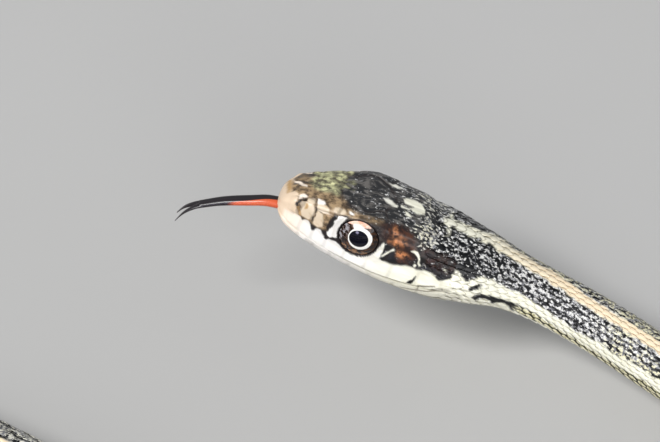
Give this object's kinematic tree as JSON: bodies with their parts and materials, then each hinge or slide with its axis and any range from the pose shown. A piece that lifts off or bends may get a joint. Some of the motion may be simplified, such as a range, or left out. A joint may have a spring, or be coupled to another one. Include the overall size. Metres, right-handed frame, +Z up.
{
  "type": "garter snake",
  "caption": "Slender striped garter snake of the ribbon kind, lying in loose curves with its head raised and its forked tongue out.",
  "frame": {"origin": "middle of the model's outline seen from above, on the floor that the belly lies on", "axes": "+Z up; +X along the longest side of the outline, towards the head's end; the head points along -X"},
  "size_m": [0.2956, 0.2212, 0.0152],
  "materials": {
    "skin": "satin overlapping keeled scales, black and grey with cream stripes",
    "eye": "clear glossy spectacle over a dark brown iris and a round black pupil",
    "tongue": "moist, orange-red at the base and black towards the fork"
  },
  "bodies": {
    "root": {"head": "skin", "lower_jaw": "skin", "eye_left": "eye", "eye_right": "eye", "tongue": "tongue", "neck": "skin", "body_01": "skin", "body_02": "skin", "body_03": "skin", "body_04": "skin", "body_05": "skin", "body_06": "skin", "body_07": "skin", "body_08": "skin", "tail_01": "skin", "tail_02": "skin", "tail_03": "skin", "tail_04": "skin"}
  },
  "joints": []
}
